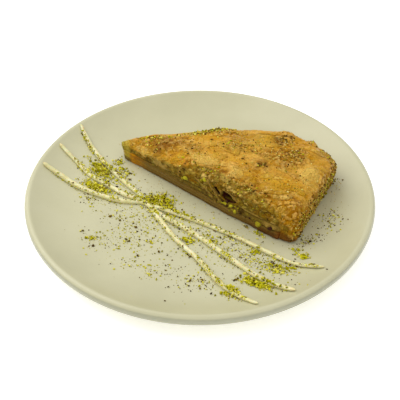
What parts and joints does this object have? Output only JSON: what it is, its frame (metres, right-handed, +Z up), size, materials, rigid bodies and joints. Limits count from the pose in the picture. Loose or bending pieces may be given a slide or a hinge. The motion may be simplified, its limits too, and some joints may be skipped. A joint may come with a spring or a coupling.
{
  "type": "plate of baklava",
  "caption": "Long wedge of pistachio baklava with a flaky browned crust, on a round coupe plate with crossing strokes of cream drizzle and scattered ground pistachio.",
  "frame": {"origin": "middle of the plate's foot ring, on the table", "axes": "+Z up; +Y away from the diner, towards the rim that the wedge's long back side faces; +X towards the wedge's wide end"},
  "size_m": [0.24, 0.24, 0.0383],
  "materials": {
    "plate_glaze": "satin cream-grey glaze",
    "soaked_sheets": "syrup-soaked sheets of pastry, wet sheen",
    "pistachio": "chopped pistachio, dull",
    "baked_crust": "golden flaky crust with a buttery sheen",
    "cream": "soft cream drizzle"
  },
  "bodies": {
    "root": {"plate": "plate_glaze", "bottom_sheets": "soaked_sheets", "pistachio_filling": "pistachio", "top_sheets": "baked_crust"}
  },
  "joints": []
}
